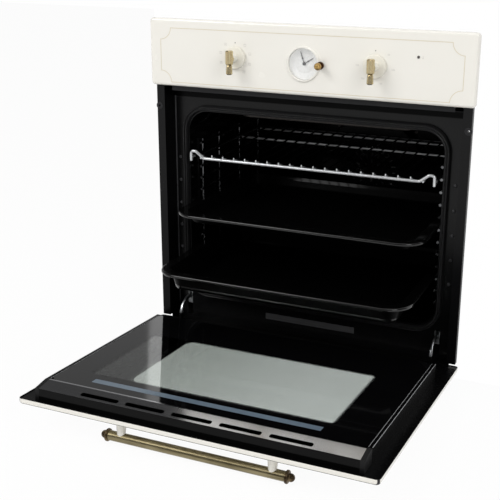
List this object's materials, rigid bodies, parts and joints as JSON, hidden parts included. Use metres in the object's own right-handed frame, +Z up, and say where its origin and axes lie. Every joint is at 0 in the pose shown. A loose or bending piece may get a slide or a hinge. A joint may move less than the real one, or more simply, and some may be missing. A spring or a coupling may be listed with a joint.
{
  "type": "built-in oven",
  "caption": "Built-in electric oven with a drop-down glazed door, slide-out trays and wire shelf, and a control panel with lever knobs and a round clock.",
  "frame": {"origin": "middle of the housing's underside, in the plane of the cabinet's front face", "axes": "+X to the right seen from the front, +Y into the cabinet, +Z up"},
  "size_m": [0.595, 1.0347, 0.6054],
  "materials": {
    "cream_enamel": "gloss",
    "black_enamel": "gloss",
    "galvanised_steel": "satin",
    "chrome_wire": "polished",
    "element_steel": "matte",
    "fan_steel": "satin",
    "blower_aluminium": "satin",
    "cream_plastic": "gloss",
    "black_plastic": "matte",
    "lever_brass": "polished",
    "antique_brass": "aged",
    "dark_bronze": "aged",
    "dial_white": "matte",
    "hand_black": "matte",
    "pane_glass": "tinted",
    "clear_glass": "clear",
    "lamp_ceramic": "gloss",
    "signal_red": "gloss",
    "gasket_rubber": "matte",
    "wool_mat": "matte"
  },
  "bodies": {
    "housing": {"control_panel": "cream_enamel", "clock_bezel": "cream_enamel", "front_plate": "black_enamel", "side_columns": "black_enamel", "cavity_shell": "black_enamel", "fan_cover": "black_enamel", "air_duct": "black_enamel", "base_panel": "galvanised_steel", "side_panels": "galvanised_steel", "rear_panel": "galvanised_steel", "top_cover": "galvanised_steel", "control_chassis": "galvanised_steel", "blower_housing": "galvanised_steel", "hinge_arms": "galvanised_steel", "hinge_receivers": "galvanised_steel", "housing_screws": "galvanised_steel", "side_racks": "chrome_wire", "grill_element": "element_steel", "ring_element": "element_steel", "bottom_element": "element_steel", "fan_motor": "fan_steel", "blower_motor": "fan_steel", "screw_grommets": "black_plastic", "terminal_block": "black_plastic", "function_switch": "black_plastic", "thermostat": "black_plastic", "clock_movement": "black_plastic", "clock_dial": "dial_white", "clock_glass": "clear_glass", "lamp_lens": "clear_glass", "oven_lamp": "lamp_ceramic", "indicator_lens": "signal_red", "door_gasket": "gasket_rubber", "insulation": "wool_mat"},
    "door": {"door_outer_panel": "cream_enamel", "window_glass": "pane_glass", "door_carcass": "black_enamel", "inner_glass": "pane_glass", "door_side_rails": "black_enamel", "door_top_rail": "black_enamel", "rail_end_caps": "black_plastic", "hinge_cases": "galvanised_steel", "hinge_springs": "galvanised_steel", "handle_bar": "antique_brass", "handle_finials": "dark_bronze", "handle_posts": "cream_enamel", "handle_screws": "galvanised_steel"},
    "shelf": {"wire_shelf": "chrome_wire"},
    "tray": {"baking_tray": "black_enamel"},
    "pan": {"deep_pan": "black_enamel"},
    "function_control": {"function_knob": "cream_plastic", "function_lever": "lever_brass"},
    "temperature_control": {"thermostat_knob": "cream_plastic", "thermostat_lever": "lever_brass"},
    "clock_setter": {"clock_set_knob": "lever_brass"},
    "minute_pointer": {"minute_hand": "hand_black"},
    "hour_pointer": {"hour_hand": "hand_black"},
    "oven_fan": {"convection_fan": "fan_steel"},
    "cooling_fan": {"blower_wheel": "blower_aluminium"}
  },
  "joints": [
    {"name": "door_hinge", "type": "hinge", "parent": "housing", "child": "door", "pos_m": [0, -0.017, 0.0025], "axis": [-1, 0, 0], "range_deg": [0, 86]},
    {"name": "shelf_slide", "type": "slide", "parent": "housing", "child": "shelf", "axis": [0, 1, 0], "range_m": [0, 0.024]},
    {"name": "tray_slide", "type": "slide", "parent": "housing", "child": "tray", "axis": [0, 1, 0], "range_m": [0, 0.107]},
    {"name": "pan_slide", "type": "slide", "parent": "housing", "child": "pan", "axis": [0, 1, 0], "range_m": [0, 0.178]},
    {"name": "function_turn", "type": "hinge", "parent": "housing", "child": "function_control", "pos_m": [-0.1275, -0.029, 0.5255], "axis": [0, 1, 0], "continuous": true},
    {"name": "temperature_turn", "type": "hinge", "parent": "housing", "child": "temperature_control", "pos_m": [0.1275, -0.029, 0.5255], "axis": [0, 1, 0], "range_deg": [0, 270]},
    {"name": "clock_set", "type": "hinge", "parent": "housing", "child": "clock_setter", "pos_m": [0.0326, -0.025, 0.5215], "axis": [0, 1, 0], "continuous": true},
    {"name": "minute_turn", "type": "hinge", "parent": "housing", "child": "minute_pointer", "pos_m": [0, -0.016, 0.5215], "axis": [0, 1, 0], "continuous": true},
    {"name": "hour_turn", "type": "hinge", "parent": "housing", "child": "hour_pointer", "pos_m": [0, -0.016, 0.5215], "axis": [0, 1, 0], "continuous": true},
    {"name": "oven_fan_spin", "type": "hinge", "parent": "housing", "child": "oven_fan", "pos_m": [0, 0.41, 0.239], "axis": [0, 1, 0], "continuous": true},
    {"name": "cooling_fan_spin", "type": "hinge", "parent": "housing", "child": "cooling_fan", "pos_m": [0, 0.38, 0.47], "axis": [0, 0, 1], "continuous": true}
  ],
  "couplings": [
    {"joint": "shelf_slide", "follows": "door_hinge", "m_per_rad": 0.015989},
    {"joint": "tray_slide", "follows": "door_hinge", "m_per_rad": 0.071286},
    {"joint": "pan_slide", "follows": "door_hinge", "m_per_rad": 0.11859},
    {"joint": "minute_turn", "follows": "clock_set", "ratio": -1},
    {"joint": "hour_turn", "follows": "clock_set", "ratio": -0.083333}
  ]
}
